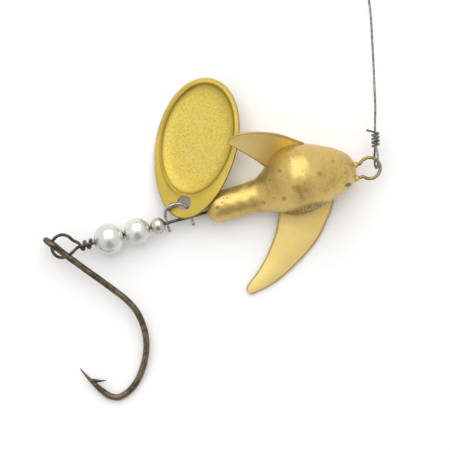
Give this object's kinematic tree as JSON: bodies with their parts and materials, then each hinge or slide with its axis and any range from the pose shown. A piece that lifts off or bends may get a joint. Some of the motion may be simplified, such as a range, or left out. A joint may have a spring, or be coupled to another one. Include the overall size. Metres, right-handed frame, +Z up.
{
  "type": "inline spinner",
  "caption": "Fishing spinner: cast body with two swept sheet wings, dished blade on a clevis, beads on a wire shaft, and a hook, shown lying flat with its leader.",
  "frame": {"origin": "centre of the bottom of the bounding box of everything but the leader, on the table the lure lies on", "axes": "+X along the shaft toward the head loop, +Y toward the blade's side, +Z up from the table"},
  "size_m": [0.0901, 0.0824, 0.0158],
  "materials": {
    "gold_paint": "satin gold paint over cast lead, mottled and chipped",
    "wing_brass": "satin pale brass sheet",
    "gold_wire": "gold painted wire, bare and grey at its outer end",
    "dark_wire": "darkened steel wire",
    "pearl_coat": "pearl coat",
    "tarnished_nickel": "tarnished nickel",
    "nickel_band": "nickel plated band",
    "blade_brass": "worn brass with fine speckles",
    "bronzed_steel": "bronzed, worn to olive and gold in places",
    "leader_steel": "plain stainless wire"
  },
  "bodies": {
    "lure_body": {"body_casting": "gold_paint", "lower_wing": "wing_brass", "upper_wing": "wing_brass", "head_loop": "gold_wire", "shaft_wire": "dark_wire"},
    "large_pearl": {"large_pearl": "pearl_coat"},
    "small_pearl": {"small_pearl": "pearl_coat"},
    "spacer_bead": {"spacer_bead": "tarnished_nickel"},
    "clevis": {"clevis": "nickel_band"},
    "blade": {"blade": "blade_brass"},
    "hook": {"hook": "bronzed_steel"},
    "leader": {"leader_end_loop": "leader_steel", "leader_wire": "leader_steel", "leader_coil": "leader_steel"}
  },
  "joints": [
    {"name": "large_pearl_spin", "type": "hinge", "parent": "lure_body", "child": "large_pearl", "pos_m": [-0.02192, 0.00315, 0.0036], "axis": [1, 0, 0], "continuous": true},
    {"name": "small_pearl_spin", "type": "hinge", "parent": "lure_body", "child": "small_pearl", "pos_m": [-0.02192, 0.00315, 0.0036], "axis": [1, 0, 0], "continuous": true},
    {"name": "spacer_bead_spin", "type": "hinge", "parent": "lure_body", "child": "spacer_bead", "pos_m": [-0.02192, 0.00315, 0.0036], "axis": [1, 0, 0], "continuous": true},
    {"name": "clevis_spin", "type": "hinge", "parent": "lure_body", "child": "clevis", "pos_m": [-0.02192, 0.00315, 0.0036], "axis": [1, 0, 0], "range_deg": [-150, 12]},
    {"name": "blade_swing", "type": "hinge", "parent": "clevis", "child": "blade", "pos_m": [-0.00605, 0.0065, 0.00492], "axis": [0, -0.4384, 0.8988], "range_deg": [0, 24]},
    {"name": "hook_swing", "type": "hinge", "parent": "lure_body", "child": "hook", "pos_m": [-0.03704, 0.00509, 0.00493], "axis": [0.775, 0.632, 0], "range_deg": [-170, 0]},
    {"name": "leader_swing", "type": "hinge", "parent": "lure_body", "child": "leader", "pos_m": [0.03808, 0.00445, 0.00435], "axis": [0, 0, 1], "range_deg": [-60, 4]}
  ]
}
